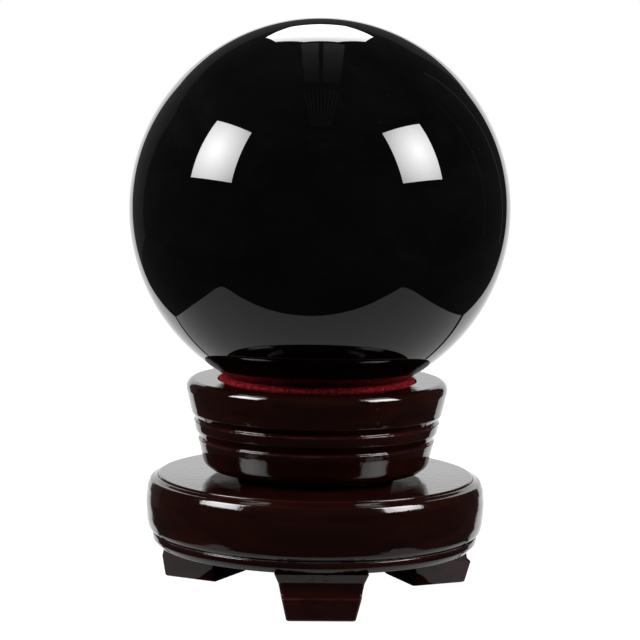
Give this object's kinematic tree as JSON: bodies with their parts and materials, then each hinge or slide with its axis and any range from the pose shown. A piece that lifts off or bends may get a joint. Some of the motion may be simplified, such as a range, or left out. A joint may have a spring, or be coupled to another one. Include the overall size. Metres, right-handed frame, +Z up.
{
  "type": "crystal ball",
  "caption": "Polished opaque black crystal ball resting on a velvet ring in a swivelling turned-wood stand with lacquered cup, round base and short block feet.",
  "frame": {"origin": "centre of the footprint on the surface the feet stand on, under the ball's vertical axis", "axes": "+Z up along the shared axis of ball, cup and base; -Y towards the front foot; +X to the right seen from the front"},
  "size_m": [0.15, 0.15, 0.2263],
  "materials": {
    "black_glass": "opaque black, polished to a mirror",
    "red_velvet": "short-pile crimson velvet over a soft cord",
    "dark_lacquer": "turned hardwood under thick dark red-brown gloss lacquer",
    "pale_wood": "bare beech dowel",
    "zinc_steel": "zinc-plated pressed steel",
    "bright_steel": "bright ground steel"
  },
  "bodies": {
    "base": {"base": "dark_lacquer", "foot_front": "dark_lacquer", "foot_right": "dark_lacquer", "foot_left": "dark_lacquer", "dowel_front_a": "pale_wood", "dowel_front_b": "pale_wood", "dowel_right_a": "pale_wood", "dowel_right_b": "pale_wood", "dowel_left_a": "pale_wood", "dowel_left_b": "pale_wood", "swivel_lower_plate": "zinc_steel", "pivot_rivet": "bright_steel", "lower_screw_1": "zinc_steel", "lower_screw_2": "zinc_steel", "lower_screw_3": "zinc_steel", "lower_screw_4": "zinc_steel"},
    "turntable": {"cup": "dark_lacquer", "seat_ring": "red_velvet", "swivel_upper_plate": "zinc_steel", "upper_screw_1": "zinc_steel", "upper_screw_2": "zinc_steel", "upper_screw_3": "zinc_steel", "upper_screw_4": "zinc_steel"},
    "bearing_cage": {"ball_retainer": "zinc_steel", "bearing_ball_01": "bright_steel", "bearing_ball_02": "bright_steel", "bearing_ball_03": "bright_steel", "bearing_ball_04": "bright_steel", "bearing_ball_05": "bright_steel", "bearing_ball_06": "bright_steel", "bearing_ball_07": "bright_steel", "bearing_ball_08": "bright_steel", "bearing_ball_09": "bright_steel", "bearing_ball_10": "bright_steel", "bearing_ball_11": "bright_steel", "bearing_ball_12": "bright_steel"},
    "ball": {"crystal_ball": "black_glass"}
  },
  "joints": [
    {"name": "cup_swivel", "type": "hinge", "parent": "base", "child": "turntable", "pos_m": [0, 0, 0.0464], "axis": [0, 0, 1], "continuous": true},
    {"name": "cage_roll", "type": "hinge", "parent": "base", "child": "bearing_cage", "pos_m": [0, 0, 0.0464], "axis": [0, 0, 1], "continuous": true},
    {"name": "ball_lift", "type": "slide", "parent": "turntable", "child": "ball", "axis": [0, 0, 1], "range_m": [0, 0.1]}
  ],
  "couplings": [
    {"joint": "cage_roll", "follows": "cup_swivel", "ratio": 0.5}
  ]
}
